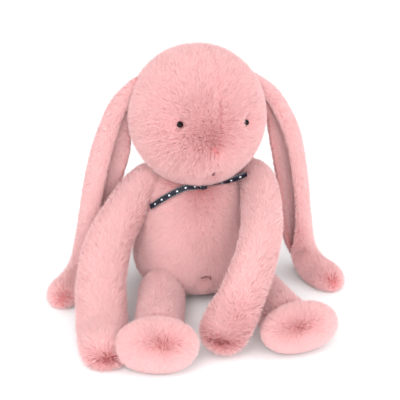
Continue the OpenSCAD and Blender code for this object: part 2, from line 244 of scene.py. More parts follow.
satin = printed_satin()
tail_lines = {
    "ribbon_tail_right": [
        (-4.4, -37.5, 119.3, 60), (-11, -38, 120, 35), (-20, -37.5, 119, 25), (-32, -33.5, 112, 20),
        (-41, -29, 105, 20), (-46, -25.5, 100, 25), (-50, -22, 96, 20),
    ],
    "ribbon_tail_left": [
        (4.4, -37.5, 119.3, 60), (11, -37.5, 120.3, 50), (18, -38, 121.5, 40), (24, -39, 123, 20),
        (30, -40, 125, 5), (36, -40, 127, 0), (42, -39, 128.5, 10),
    ],
}
for name, rows in tail_lines.items():
    rows = smoothed(rows, 8)
    line = rows[:, :3] / 1000
    tail = ribbon_strip(name, line, rows[:, 3])
    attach(tail, "torso")
    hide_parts(name)

# ---- Ribbon loop and knot ----
# The same satin goes once round the neck and is pulled tight in a small flat knot under the chin.

turn = np.linspace(0, 2 * math.pi, 73)
LOOP_R, LOOP_Y, LOOP_Z = 0.0275, -0.003, 0.1187
line = np.stack([LOOP_R * np.sin(turn), LOOP_Y - LOOP_R * np.cos(turn), np.full(73, LOOP_Z)], 1)
loop = ribbon_strip("ribbon_loop", line, 90 + 14 * np.sin(3 * turn))
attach(loop, "torso")
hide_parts("ribbon_loop")

KNOT = np.array([0.0, -0.0375, 0.119])
KNOT_HALF, KNOT_DEEP, KNOT_HIGH = 0.0041, 0.0021, 0.0031
tilt = np.array(Matrix.Rotation(math.radians(-35), 3, "X"))
rings = []
for x in np.linspace(-1, 1, 31):
    full = (1 - 0.96 * abs(x) ** 5) * (1 - 0.16 * math.exp(-((x - 0.25) / 0.16) ** 2))
    full *= 1 - 0.12 * math.exp(-((x + 0.35) / 0.12) ** 2)
    a = np.linspace(0, 2 * math.pi, 36, endpoint=False)
    round_y = np.sign(np.cos(a)) * np.abs(np.cos(a)) ** 0.7 * KNOT_DEEP * full
    round_z = np.sign(np.sin(a)) * np.abs(np.sin(a)) ** 0.7 * KNOT_HIGH * full
    ring = np.stack([np.full(36, KNOT_HALF * x) + 0.0006 * np.sin(a), round_y, round_z], 1)
    rings.append(KNOT + ring @ tilt.T)
knot = wrapped("ribbon_knot", rings)
layer = knot.data.uv_layers.new(name="Ribbon")
layer.data.foreach_set("uv", np.array([
    (knot.data.vertices[l.vertex_index].co.z, knot.data.vertices[l.vertex_index].co.x * 0.7)
    for l in knot.data.loops
], np.float32).ravel())
knot.data.materials.append(satin)
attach(knot, "torso")
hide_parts("ribbon_knot")

# ---- Torso ----
# The body is a stuffed pear of knitted plush, sewn from a front and a back panel, with a flat seat.
# Its pile is about 9 mm of fine polyester, brushed away from the middle of the belly.

PILE_QUICK = 1.0


def pile_tree():
    """Hairs over a cloth surface: fine tapered blades that lean with the nap and gather in soft tufts."""
    tree = bpy.data.node_groups.new("Brushed pile", "GeometryNodeTree")
    tree.interface.new_socket("Cloth", in_out="INPUT", socket_type="NodeSocketGeometry")
    for name, kind, value in (
        ("Hairs per square metre", "NodeSocketFloat", 4.0e6),
        ("Length", "NodeSocketFloat", 0.009),
        ("Width", "NodeSocketFloat", 0.0005),
        ("Ruffle", "NodeSocketFloat", 0.25),
        ("Tuft size", "NodeSocketFloat", 0.006),
        ("Seed", "NodeSocketInt", 1),
        ("Finish", "NodeSocketMaterial", None),
    ):
        socket = tree.interface.new_socket(name, in_out="INPUT", socket_type=kind)
        if value is not None:
            socket.default_value = value
    tree.interface.new_socket("Pile", in_out="OUTPUT", socket_type="NodeSocketGeometry")
    n = Nodes(tree)
    given = tree.nodes.new("NodeGroupInput").outputs
    nap = n.add("GeometryNodeInputNamedAttribute", {"data_type": "FLOAT_VECTOR"}, Name="nap").outputs[0]
    share = n.add("GeometryNodeInputNamedAttribute", {"data_type": "FLOAT"}, Name="pile").outputs[0]
    cover = n.add("GeometryNodeInputNamedAttribute", {"data_type": "FLOAT"}, Name="cover").outputs[0]
    map_at = n.add("GeometryNodeInputNamedAttribute", {"data_type": "FLOAT_VECTOR"}, Name="UVMap").outputs[0]

    spread = n.add(
        "GeometryNodeDistributePointsOnFaces",
        Mesh=given["Cloth"],
        Density=n.math("MULTIPLY", given["Hairs per square metre"], cover),
        Seed=given["Seed"],
    )
    place = n.add("GeometryNodeInputPosition").outputs[0]
    tuft_scale = n.math("DIVIDE", 1.0, given["Tuft size"])
    tufts = n.add("ShaderNodeTexNoise", Vector=place, Scale=tuft_scale, Detail=2.0).outputs["Color"]
    tufts = n.vector("SUBTRACT", tufts, (0.5, 0.5, 0.5))
    broad = n.add("ShaderNodeTexNoise", Vector=place, Scale=55.0, Detail=1.0).outputs["Color"]
    broad = n.vector("SUBTRACT", broad, (0.5, 0.5, 0.5))
    stray = n.add("FunctionNodeRandomValue", {"data_type": "FLOAT_VECTOR"}, Seed=given["Seed"]).outputs[0]
    stray = n.vector("SUBTRACT", stray, (0.5, 0.5, 0.5))
    way = n.vector("ADD", spread.outputs["Normal"], nap)
    way = n.vector("ADD", way, n.vector("SCALE", tufts, scale=n.math("MULTIPLY", given["Ruffle"], 4.0)))
    way = n.vector("ADD", way, n.vector("SCALE", broad, scale=n.math("MULTIPLY", given["Ruffle"], 2.5)))
    way = n.vector("ADD", way, n.vector("SCALE", stray, scale=n.math("MULTIPLY", given["Ruffle"], 2.0)))
    bend = n.vector("ADD", nap, n.vector("SCALE", stray, scale=0.9))
    turn = n.add(
        "FunctionNodeAxesToRotation",
        {"primary_axis": "Z", "secondary_axis": "X"},
        Primary_Axis=way,
        Secondary_Axis=bend,
    ).outputs[0]
    chance = n.add("FunctionNodeRandomValue", {"data_type": "FLOAT"}, Seed=7)
    height = n.math("MULTIPLY_ADD", chance.outputs[1], 0.4, 0.75)
    height = n.math("MULTIPLY", height, n.math("MULTIPLY", given["Length"], share))
    size = n.add("ShaderNodeCombineXYZ", i0=height, i1=given["Width"], i2=height).outputs[0]

    grid = n.add("GeometryNodeMeshGrid", Size_X=1.0, Size_Y=1.0, Vertices_X=2, Vertices_Y=2).outputs[0]
    flat = n.add("ShaderNodeSeparateXYZ", i0=place)
    rise = n.math("MULTIPLY_ADD", n.math("ADD", flat.outputs[0], flat.outputs[1]), 0.5, 0.5)
    across = n.math("SUBTRACT", flat.outputs[0], flat.outputs[1])
    narrow = n.math("MULTIPLY", across, 0.5)
    droop = n.math("MULTIPLY", n.math("MULTIPLY", rise, rise), 0.22)
    stood = n.add("ShaderNodeCombineXYZ", i0=droop, i1=narrow, i2=rise).outputs[0]
    hair = n.add("GeometryNodeStoreNamedAttribute", {"data_type": "FLOAT", "domain": "POINT"},
                 Geometry=grid, Name="tip", Value=rise).outputs[0]
    hair = n.add("GeometryNodeStoreNamedAttribute", {"data_type": "FLOAT", "domain": "POINT"},
                 Geometry=hair, Name="edge", Value=narrow).outputs[0]
    hair = n.add("GeometryNodeSetPosition", Geometry=hair, Position=stood).outputs[0]
    hair = n.add("GeometryNodeTriangulate", Mesh=hair).outputs[0]

    roots = n.add("GeometryNodeStoreNamedAttribute", {"data_type": "FLOAT_VECTOR", "domain": "POINT"},
                  Geometry=spread.outputs["Points"], Name="root_map", Value=map_at).outputs[0]
    tint = n.add("FunctionNodeRandomValue", {"data_type": "FLOAT"}, Seed=11).outputs[1]
    roots = n.add("GeometryNodeStoreNamedAttribute", {"data_type": "FLOAT", "domain": "POINT"},
                  Geometry=roots, Name="tint", Value=tint).outputs[0]
    stand = n.add("GeometryNodeInstanceOnPoints", Points=roots, Instance=hair, Rotation=turn, Scale=size)
    pile = n.add("GeometryNodeRealizeInstances", Geometry=stand.outputs[0]).outputs[0]
    low = n.add("ShaderNodeSeparateXYZ", i0=place)
    lying = n.add("ShaderNodeCombineXYZ", i0=low.outputs[0], i1=low.outputs[1],
                  i2=n.math("MAXIMUM", low.outputs[2], 0.0004)).outputs[0]
    pile = n.add("GeometryNodeSetPosition", Geometry=pile, Position=lying).outputs[0]
    tip = n.add("GeometryNodeInputNamedAttribute", {"data_type": "FLOAT"}, Name="tip").outputs[0]
    edge = n.add("GeometryNodeInputNamedAttribute", {"data_type": "FLOAT"}, Name="edge").outputs[0]
    root_map = n.add("GeometryNodeInputNamedAttribute", {"data_type": "FLOAT_VECTOR"}, Name="root_map").outputs[0]
    own = n.add("ShaderNodeCombineXYZ", i0=n.math("MULTIPLY", edge, 0.0016), i1=n.math("MULTIPLY", tip, 0.0026))
    own = n.vector("ADD", root_map, own.outputs[0])
    pile = n.add("GeometryNodeStoreNamedAttribute", {"data_type": "FLOAT2", "domain": "CORNER"},
                 Geometry=pile, Name="OFBake", Value=own).outputs[0]
    for spare in ("edge", "root_map", "nap", "pile", "cover", "UVMap"):
        pile = n.add("GeometryNodeRemoveAttribute", Geometry=pile, Name=spare).outputs[0]
    pile = n.add("GeometryNodeSetMaterial", Geometry=pile, Material=given["Finish"]).outputs[0]
    end = tree.nodes.new("NodeGroupOutput")
    tree.links.new(pile, end.inputs[0])
    return tree


def plush_pink(name, root, tip, knit=False):
    """Pink plush: darker and deeper pink at the root than the tip, which is painted shade deep in the pile, with
    brushed patches a little lighter or darker.
    """
    material, n, shader = finish(name, 0.9, 0.05)
    place = n.add("ShaderNodeTexCoord").outputs["Object"]
    patch = n.add("ShaderNodeTexNoise", Vector=place, Scale=38.0, Detail=3.0, Roughness=0.6).outputs[0]
    fleck = n.add("ShaderNodeTexNoise", Vector=place, Scale=420.0, Detail=2.0).outputs[0]
    if knit:
        colour = n.blend(patch, root, tip)
        wale = n.add("ShaderNodeTexWave", {"bands_direction": "Z"}, Vector=place, Scale=250.0, Distortion=2.0)
        bump = n.add("ShaderNodeBump", Strength=0.5, Distance=0.0004, Height=wale.outputs["Fac"])
        n.tree.links.new(bump.outputs[0], shader.inputs["Normal"])
    else:
        up = n.add("ShaderNodeAttribute", {"attribute_name": "tip"}).outputs["Fac"]
        one = n.add("ShaderNodeAttribute", {"attribute_name": "tint"}).outputs["Fac"]
        up = n.math("POWER", up, 0.75)
        # The darker root colour is painted shade deep in the pile; each hair runs from it to the lighter tip
        # colour.
        colour = n.blend(up, root, tip)
        shade = n.math("MULTIPLY_ADD", one, 0.08, 0.93)
        shade = n.math("MULTIPLY", shade, n.math("MULTIPLY_ADD", patch, 0.10, 0.93))
        shade = n.math("MULTIPLY", shade, n.math("MULTIPLY_ADD", fleck, 0.08, 0.96))
        colour = n.vector("SCALE", colour, scale=shade)
        through = n.add("ShaderNodeBsdfTranslucent", Color=colour).outputs[0]
        both = n.add("ShaderNodeMixShader", i0=0.42, i1=shader.outputs[0], i2=through).outputs[0]
        n.tree.links.new(both, material.node_tree.nodes["Material Output"].inputs["Surface"])
    n.tree.links.new(colour, shader.inputs["Base Color"])
    return material


def groomed(cloth, nap, pile=1.0, cover=1.0):
    """Writes on the cloth which way its pile leans, how long it is and how thick it stands."""
    count = len(cloth.data.vertices)
    for name, kind, value in (("nap", "FLOAT_VECTOR", nap), ("pile", "FLOAT", pile), ("cover", "FLOAT", cover)):
        attribute = cloth.data.attributes.new(name, kind, "POINT")
        if kind == "FLOAT_VECTOR":
            attribute.data.foreach_set("vector", np.asarray(value, np.float32).ravel())
        else:
            attribute.data.foreach_set("value", np.broadcast_to(np.asarray(value, np.float32), count).copy())


def grow_pile(cloth, name, hairs, length, seed, keep=None, width=0.0006, ruffle=0.08, tuft=0.0035):
    """The pile on a cloth, or on the part of it that keep names, as one mesh of that many hairs."""
    piece = bpy.data.objects.new(name, cloth.data.copy())
    bpy.context.collection.objects.link(piece)
    mesh = piece.data
    co = np.empty(len(mesh.vertices) * 3, np.float32)
    mesh.vertices.foreach_get("co", co)
    if keep is not None:
        cover = np.empty(len(mesh.vertices), np.float32)
        mesh.attributes["cover"].data.foreach_get("value", cover)
        mesh.attributes["cover"].data.foreach_set("value", cover * keep(co.reshape(-1, 3)).astype(np.float32))
    cover = np.empty(len(mesh.vertices), np.float32)
    mesh.attributes["cover"].data.foreach_get("value", cover)
    area = sum(p.area * np.mean([cover[i] for i in p.vertices]) for p in mesh.polygons)
    grow = piece.modifiers.new("pile", "NODES")
    grow.node_group = pile_group
    sockets = {i.name: i.identifier for i in pile_group.interface.items_tree if i.in_out == "INPUT"}
    for label, value in (
        ("Hairs per square metre", hairs * PILE_QUICK / area),
        ("Length", length),
        ("Width", width / PILE_QUICK**0.5),
        ("Ruffle", ruffle),
        ("Tuft size", tuft),
        ("Seed", seed),
        ("Finish", pile_finish),
    ):
        grow[sockets[label]] = value
    grown = bpy.data.meshes.new_from_object(piece.evaluated_get(bpy.context.evaluated_depsgraph_get()))
    piece.modifiers.clear()
    piece.data = grown
    grown.name = name
    return piece


def under_ribbon(co):
    """How much of the pile's length is left beside the ribbon tails, which press it down."""
    line = np.concatenate([smoothed(rows, 8)[:, :3] for rows in tail_lines.values()]) / 1000
    near = np.linalg.norm(co[:, None] - line[None], axis=2).min(1)
    return 1 - 0.55 * np.clip(1.4 - near / 0.008, 0, 1)


def bell(distance, reach):
    """1 at no distance, falling softly to 0 at the reach."""
    return np.clip(1 - (distance / reach) ** 2, 0, 1) ** 2


def points_of(cloth):
    return np.array([v.co for v in cloth.data.vertices])


def normals_of(cloth):
    out = np.empty(len(cloth.data.vertices) * 3, np.float32)
    cloth.data.vertex_normals.foreach_get("vector", out)
    return out.reshape(-1, 3)


def combed(cloth, way, along, back=0.4, drop=0.65):
    """A lean along the cloth, with a stroke backwards and down, or up where the drop is negative.

    The stroke is up to three times as strong where the cloth faces forwards.
    """
    normal = normals_of(cloth)
    front = np.clip(-normal[:, 1:2], 0, 1)
    nap = way * along + np.array([0.0, 0.75, -drop]) * back * (1 + 2 * front)
    return nap - (nap * normal).sum(1, keepdims=True) * normal


def away_from(cloth, centre):
    """Directions along the cloth that lead away from a point."""
    co = points_of(cloth)
    normal = normals_of(cloth)
    out = co - np.asarray(centre)
    out -= (out * normal).sum(1, keepdims=True) * normal
    return unit(out)


pile_group = pile_tree()
# The pile's darker root colour is painted shade deep in the pile.
pile_finish = plush_pink("Pink brushed pile", (0.90, 0.275, 0.295), (0.955, 0.735, 0.735))
# The backing under the hairs takes a darker pink near the pile's root colour, painted shade under the pile.
backing_finish = plush_pink("Pink knitted backing", (0.91, 0.36, 0.37), (0.95, 0.45, 0.455), knit=True)

TORSO_R, SEAT_R, BELLY_Z, TORSO_H, TORSO_RISE = 0.057, 0.027, 0.034, 0.118, 0.104
SHOULDER = np.array([0.0465, 0.004, 0.112])
HIP = np.array([0.067 * math.sin(math.radians(42)), -0.067 * math.cos(math.radians(42)), 0.0155])
outline = [(r * SEAT_R / 8, 0.0) for r in range(1, 8)]
outline += [
    (SEAT_R + (TORSO_R - SEAT_R) * math.sin(a), BELLY_Z - BELLY_Z * math.cos(a))
    for a in np.linspace(0, math.pi / 2, 14)
]
outline += [
    (TORSO_R * math.sqrt(1 - ((z - BELLY_Z) / TORSO_RISE) ** 2), z)
    for z in np.linspace(BELLY_Z, TORSO_H, 34)[1:]
]
outline += [(r * outline[-1][0] / 10, TORSO_H) for r in range(9, 0, -1)]
turn = np.linspace(0, 2 * math.pi, 128, endpoint=False)
rings = np.array([[(r * math.sin(a), r * math.cos(a), z) for a in turn] for r, z in outline])
rings[..., 1] += 0.008 * np.clip(1 - rings[..., 2] / 0.030, 0, 1) ** 2
front = bell(np.linalg.norm(rings - np.array([0.002, -0.052, 0.040]), axis=2), 0.045)
rings[..., 1] -= 0.0015 * front
navel = np.linalg.norm(rings - np.array([-0.004, -0.0565, 0.031]), axis=2)
rings[..., 1] += 0.0016 * bell(navel, 0.010)
rings[..., 1] -= 0.0012 * bell(np.linalg.norm(rings - np.array([-0.004, -0.056, 0.020]), axis=2), 0.010)
for side in (1, -1):
    for centre, radius in ((SHOULDER, 0.0120), (HIP, 0.0160)):
        centre = centre * (side, 1, 1)
        out = rings - centre
        far = np.linalg.norm(out, axis=2, keepdims=True)
        rings = np.where(far < radius, centre + out / np.maximum(far, 1e-9) * radius, rings)
torso = wrapped("torso_plush", rings)
torso.data.materials.append(backing_finish)
co = points_of(torso)
belly = away_from(torso, (0.002, -0.057, 0.060))
down = away_from(torso, (0, 0, 1.0))
short = 1 - 0.68 * bell(np.linalg.norm(co - np.array([-0.003, -0.0575, 0.033]), axis=1), 0.012)
short *= 0.45 + 0.55 * np.clip((co[:, 2] - 0.003) / 0.018, 0, 1)
short *= under_ribbon(co)
bare = (co[:, 2] > 0.0025) * (1 - 0.9 * bell(np.hypot(co[:, 0], co[:, 1]), 0.030) * (co[:, 2] > 0.117))
groomed(torso, combed(torso, down, 0.35, 0.35) + belly * 0.15, short, bare)
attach(torso, "torso")
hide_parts("torso_skin", "torso_filling")
for name, hairs, seed, keep in (
    ("torso_pile_front", 90000, 3, lambda p: p[:, 1] < 0),
    ("torso_pile_back", 62000, 4, lambda p: p[:, 1] >= 0),
):
    pile = grow_pile(torso, name, hairs, 0.009, seed, keep)
    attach(pile, "torso")

# ---- Head ----
# A stuffed ball of the same plush, a little taller than wide, drawn out slightly at the muzzle.
# A seam runs up the middle of the face, and the pile is brushed outwards from between the eyes.

HEAD = np.array([0.0, -0.009, 0.182])
HEAD_SIZE = np.array([0.059, 0.059, 0.061])
TURN = np.array((Matrix.Rotation(math.radians(3), 3, "Z") @ Matrix.Rotation(math.radians(4), 3, "Y")))


def on_face(lon, lat, out=0.0):
    """A point over the head's cloth at an angle round and up, and the way out there."""
    lon, lat = math.radians(lon), math.radians(lat)
    u = np.array([math.cos(lat) * math.sin(lon), -math.cos(lat) * math.cos(lon), math.sin(lat)])
    stretch = HEAD_SIZE
    reach = 1 / np.linalg.norm(u / stretch)
    way = unit(u / stretch**2)
    return HEAD + TURN @ (u * reach + way * out), TURN @ way


polar = np.radians(np.concatenate([np.linspace(1.5, 60, 36), np.linspace(63, 178, 42)]))
around = np.linspace(0, 2 * math.pi, 132, endpoint=False)
axis, side, up = np.array([0.0, -1.0, 0.0]), np.array([1.0, 0.0, 0.0]), np.array([0.0, 0.0, 1.0])
rings = []
for p in polar:
    u = np.cos(p) * axis + np.sin(p) * (np.cos(around)[:, None] * side + np.sin(around)[:, None] * up)
    rings.append(u / np.linalg.norm(u / HEAD_SIZE, axis=1, keepdims=True))
rings = np.array(rings) @ TURN.T + HEAD
muzzle, muzzle_out = on_face(4, -34)
rings += muzzle_out * 0.0028 * bell(np.linalg.norm(rings - muzzle, axis=2), 0.034)[..., None]
eyes = {name: on_face(lon, 8) for name, lon in (("left", 32), ("right", -32))}
for eye_at, eye_out in eyes.values():
    rings -= eye_out * 0.0018 * bell(np.linalg.norm(rings - eye_at, axis=2), 0.013)[..., None]
head = wrapped("head_plush", rings)
head.data.materials.append(backing_finish)
co = points_of(head)
crown, _ = on_face(1, -14)
out = away_from(head, crown)
reach = np.linalg.norm(co - crown, axis=1)
down = away_from(head, HEAD + np.array([0, 0, 0.3]))
back = np.clip((co[:, 1:2] - HEAD[1]) / 0.05, 0, 1)
nap = (out * (1 - back) + down * back) * (0.30 + 0.18 * np.clip(reach / 0.07, 0, 1))[:, None]
own = (co - HEAD) @ TURN
seam = np.exp(-((own[:, 0] - 0.003) / 0.004) ** 2) * (own[:, 2] > -0.01) * (own[:, 1] < 0)
nap += (TURN @ side) * (np.sign(own[:, 0] - 0.003) * 0.12 * seam)[:, None]
short = 1 - 0.10 * seam
for eye_at, eye_out in eyes.values():
    gone = np.linalg.norm(co - eye_at, axis=1)
    short = short * (1 - 0.64 * bell(gone, 0.012))
    clear = co - eye_at
    nap += unit(clear) * (0.6 * bell(gone, 0.013))[:, None]
stitch_at, _ = on_face(4, -36)
short = short * (1 - 0.60 * bell(np.linalg.norm(co - stitch_at, axis=1), 0.011))
groomed(head, nap, short)
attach(head, "head")
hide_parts("head_skin", "head_filling")
for name, hairs, seed, keep in (
    ("head_pile_front", 98000, 13, lambda p: p[:, 1] < HEAD[1]),
    ("head_pile_back", 80000, 14, lambda p: p[:, 1] >= HEAD[1]),
):
    pile = grow_pile(head, name, hairs, 0.0088, seed, keep)
    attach(pile, "head")

# ---- Arms ----
# Long tubes of plush, softly stuffed and flat-sided, sewn to the shoulders by their round ends.

ARM_LINES = {
    "left": [
        (46.5, 4, 112, 0), (54, -8, 111.5, 0.15), (57, -28, 109.5, 0.5), (51, -62, 98, 0.9),
        (40, -97, 89, 1), (24, -127, 73, 1), (7, -145, 51, 1), (-7, -147, 25, 0.9),
    ],
    "right": [
        (-46.5, 4, 112, 0), (-56, 1, 105, 0.15), (-69, -8, 92, 0.5), (-91, -28, 67, 0.9),
        (-104, -56, 43, 1), (-109, -82, 26, 1), (-112, -108, 16, 0.98), (-114, -135, 14, 0.8),
    ],
}


def limb_rings(line, share, root, high, wide, sides):
    """Oval rings along a line, with rounded ends."""
    t = headings(line)
    up = np.tile([0.0, 0.0, 1.0], (len(line), 1))
    up = unit(up - (up * t).sum(1, keepdims=True) * t)
    across = np.cross(up, t)
    h = root + (high - root) * share
    w = root + (wide - root) * share
    a = np.linspace(0, 2 * math.pi, sides, endpoint=False)
    oval = lambda i, k: k * (
        np.outer(np.cos(a) * h[i], up[i]) + np.outer(np.sin(a) * w[i], across[i])
    )
    caps = np.radians([4, 12, 21, 30, 39, 48, 57, 66, 74, 82])
    rings = [line[0] - t[0] * (h[0] + w[0]) / 2 * math.cos(c) + oval(0, math.sin(c)) for c in caps]
    rings += [line[i] + oval(i, 1) for i in range(len(line))]
    rings += [line[-1] + t[-1] * (h[-1] + w[-1]) / 2 * math.cos(c) + oval(-1, math.sin(c)) for c in caps[::-1]]
    return np.array(rings)


for name, seed in (("left", 23), ("right", 24)):
    rows = smoothed(ARM_LINES[name], 10)
    line = rows[:, :3] / 1000
    high, wide = (0.017, 0.0125) if name == "left" else (0.0125, 0.017)
    rings = limb_rings(line, rows[:, 3], 0.0115, high, wide, 52)
    arm = wrapped(f"arm_{name}_plush", rings)
    arm.data.materials.append(backing_finish)
    co = points_of(arm)
    near = np.linalg.norm(co[:, None] - line[None], axis=2).argmin(1)
    nap = combed(arm, headings(line)[near], -0.36, 0.22, -0.65)
    groomed(arm, nap, (0.85 + 0.15 * np.clip(near / 15, 0, 1)) * under_ribbon(co))
    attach(arm, f"arm_{name}")
    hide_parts(f"arm_{name}_skin", f"arm_{name}_filling")
    pile = grow_pile(arm, f"arm_{name}_pile", 97000, 0.0095, seed, width=0.0008, ruffle=0.08)
    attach(pile, f"arm_{name}")

# ---- Legs and feet ----
# Short round legs lie on the floor. Each foot is a firm oval pad sewn across the ankle,
# with its pile swirling out from the middle of the sole.

LEG_R, LEG_LENGTH, FOOT_W = 0.0160, 0.074, 0.031
for name, side, splay, FOOT_H, seed in (("left", 1, 9, 0.0172, 33), ("right", -1, 14, 0.0193, 43)):
    hip = HIP * (side, 1, 1)
    way = np.array([side * math.sin(math.radians(splay)), -math.cos(math.radians(splay)), 0.0])
    line = hip + np.outer(np.linspace(0, LEG_LENGTH, 30), way)
    rings = limb_rings(line, np.zeros(30), LEG_R, LEG_R, LEG_R, 60)
    leg = wrapped(f"leg_{name}_plush", rings)
    leg.data.materials.append(backing_finish)
    groomed(leg, combed(leg, np.tile(way, (len(leg.data.vertices), 1)), -0.38, 0.3))
    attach(leg, f"leg_{name}")
    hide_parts(f"leg_{name}_skin", f"leg_{name}_filling")
    pile = grow_pile(leg, f"leg_{name}_pile", 44000, 0.0095, seed, width=0.0008, ruffle=0.08)
    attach(pile, f"leg_{name}")

    centre = hip + way * (LEG_LENGTH + LEG_R + FOOT_H - 0.001) + np.array([0, 0, 0.0065])
    cross = np.array([-way[1], way[0], 0.0])
    up = np.array([0.0, 0.0, 1.0])
    rings = []
    for p in np.radians(np.linspace(2, 178, 62)):
        ring = np.cos(p) * FOOT_H * way + np.sin(p) * (
            np.outer(np.cos(np.linspace(0, 2 * math.pi, 84, endpoint=False)) * FOOT_W, cross)
            + np.outer(np.sin(np.linspace(0, 2 * math.pi, 84, endpoint=False)) * FOOT_H, up)
        )
        rings.append(centre + ring)
    rings = np.array(rings)
    sole = centre + way * FOOT_H
    rings -= way * 0.0008 * bell(np.linalg.norm(rings - sole, axis=2), 0.012)[..., None]
    foot = wrapped(f"foot_{name}_plush", rings)
    foot.data.materials.append(backing_finish)
    co = points_of(foot)
    reach = np.linalg.norm(co - sole, axis=1)
    nap = away_from(foot, sole + up * 0.002) * (0.2 * np.clip(reach / 0.03, 0, 1))[:, None]
    groomed(foot, nap + combed(foot, np.tile(way, (len(co), 1)), 0.0, 0.5), 1 - 0.3 * bell(reach, 0.022))
    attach(foot, f"foot_{name}")
    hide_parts(f"foot_{name}_skin", f"foot_{name}_filling")
    pile = grow_pile(foot, f"foot_{name}_pile", 40000, 0.0090, seed + 1, width=0.0006)
    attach(pile, f"foot_{name}")

# ---- Ears ----
# Two layers of plush sewn back to back, not stuffed, folded lengthways at the root and hanging open.

EAR_LINES = {
    "left": [
        (54.5, 4, 217, 0.32, 95, -1, -0.1, 0, 1), (59.5, 6, 212, 0.4, 95, -1, -0.1, 0, 1),
        (85, 9, 188, 0.7, 100, -1, -0.15, 0, 2), (105, 11, 150, 1, 100, -1, -0.2, 0, 8),
        (115, 9, 100, 1, 100, -1, -0.2, 0, 9), (118, 4, 58, 1.02, 98, -1, -0.2, -0.1, 8),
        (119, -6, 33, 1.08, 96, -0.9, -0.15, -0.4, 4), (121, -22, 21, 1.12, 95, -0.4, -0.1, -0.9, 2),
        (125, -39, 17.5, 1.12, 95, 0, 0, -1, 1), (128, -50, 16, 1, 95, 0, 0, -1, 1),
    ],
    "right": [
        (-54.5, 4, 217, 0.32, 95, 1, -0.1, 0, 1), (-59.5, 6, 212, 0.4, 95, 1, -0.1, 0, 1),
        (-77, 13, 188, 0.7, 100, 1, -0.25, 0, 8), (-92, 20, 150, 0.98, 100, 1, -0.3, 0, 17),
        (-103, 27, 102, 1, 100, 1, -0.25, 0, 16), (-111, 24, 58, 1.02, 98, 1, -0.1, -0.1, 8),
        (-117, 15, 33, 1.08, 96, 0.9, -0.1, -0.4, 4), (-125, 2, 21, 1.12, 95, 0.4, -0.1, -0.9, 2),
        (-133, -12, 17.5, 1.12, 95, 0, 0, -1, 1), (-138, -21, 16, 1, 95, 0, 0, -1, 1),
    ],
}
EAR_FOLD_R, EAR_THICK = 0.012, 0.0034
for name, seed in (("left", 53), ("right", 54)):
    rows = smoothed(EAR_LINES[name], 9)
    last, t = rows[-1], headings(rows[:, :3])[-1]
    open_end = unit(last[5:8] - (last[5:8] @ t) * t)
    tips = []
    for angle in np.radians([15, 30, 45, 58, 68]):
        end = last.copy()
        keep = math.cos(angle)
        end[:3] += t * 13 * math.sin(angle) + open_end * last[3] * EAR_FOLD_R * 1000 * (1 - keep)
        end[3] *= keep
        end[8] *= keep
        tips.append(end)
    rows = np.vstack([rows, tips])
    spine = rows[:, :3] / 1000
    t = headings(spine)
    open_way = rows[:, 5:8]
    open_way = unit(open_way - (open_way * t).sum(1, keepdims=True) * t)
    across = np.cross(t, open_way)
    fold = rows[:, 3] * EAR_FOLD_R
    rear = 1 if name == "left" else -1
    sweep = np.concatenate([np.linspace(-1, 1, 25), np.linspace(1.12, 2, 9)]) * rear
    edge = np.minimum(np.abs(sweep - sweep[0]), np.abs(sweep - sweep[-1])) / 0.25
    full = np.sqrt(np.clip(1.02 - np.clip(1 - edge, 0, 1) ** 2, 0, 1))
    rings, middles = [], []
    for i in range(len(rows)):
        a = np.radians(rows[i, 4]) * np.clip(sweep, -1, 1)
        on = np.clip(np.abs(sweep) - 1, 0, 1) * rows[i, 8] / 1000
        middle = spine[i] + open_way[i] * fold[i]
        ray = np.outer(np.sin(a), across[i]) - np.outer(np.cos(a), open_way[i])
        run = (np.outer(np.cos(a), across[i]) * np.sign(sweep)[:, None]
               + np.outer(np.abs(np.sin(a)), open_way[i])) * on[:, None]
        outer = middle + run + ray * (fold[i] - EAR_THICK / 2 + EAR_THICK / 2 * full)[:, None]
        inner = middle + run + ray * np.maximum(fold[i] - EAR_THICK / 2 - EAR_THICK / 2 * full, 0.0003)[:, None]
        rings.append(np.concatenate([outer, inner[::-1]]))
        middles.append(np.concatenate([middle + run, (middle + run)[::-1]]))
    ear = wrapped(f"ear_{name}_plush", rings)
    ear.data.materials.append(backing_finish)
    co = points_of(ear)
    near = np.linalg.norm(co[:, None] - spine[None], axis=2).argmin(1)
    normal = normals_of(ear)
    middles = np.concatenate([np.concatenate(middles), spine[:1], spine[-1:]])
    inside = ((co - middles) * normal).sum(1) < 0
    rim = np.concatenate([np.tile(np.concatenate([edge, edge[::-1]]), len(rows)), [1, 1]])
    rim = 0.5 + 0.5 * np.clip(rim / 1.2, 0, 1)
    low = np.clip((co[:, 2:3] - 0.025) / 0.05, 0, 1)
    root = 0.35 + 0.65 * np.clip(near / 14, 0, 1)
    groomed(ear, combed(ear, t[near], 0.55 * low - 0.1, 0.35, 0.65), np.where(inside, 0.45, 1.0) * rim * root)
    run = np.linalg.norm(np.diff(spine, axis=0), axis=1)
    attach(ear, f"ear_{name}")
    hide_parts(f"ear_{name}_back", f"ear_{name}_lining")
    pile = grow_pile(ear, f"ear_{name}_pile", 97000, 0.0080, seed, width=0.0008, ruffle=0.08)
    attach(pile, f"ear_{name}")

# ---- Tail ----
# A small round pompom of plush at the back of the seat.

TAIL, TAIL_R = np.array([0.0, 0.065, 0.026]), 0.013
polar = np.radians(np.linspace(4, 176, 40))
around = np.linspace(0, 2 * math.pi, 56, endpoint=False)
rings = [
    TAIL + TAIL_R * np.stack([np.sin(p) * np.cos(around), np.full(56, math.cos(p)), np.sin(p) * np.sin(around)], 1)
    for p in polar
]
tail = wrapped("tail_plush", rings)
tail.data.materials.append(backing_finish)
groomed(tail, away_from(tail, TAIL + np.array([0, TAIL_R, 0])) * 0.3)
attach(tail, "torso")
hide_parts("tail_skin", "tail_filling")
pile = grow_pile(tail, "tail_pile", 11000, 0.010, 63)
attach(pile, "torso")

# ---- Neck ----
# A short sleeve of plush over the wad that joins the head to the body; the ribbon sits round it.

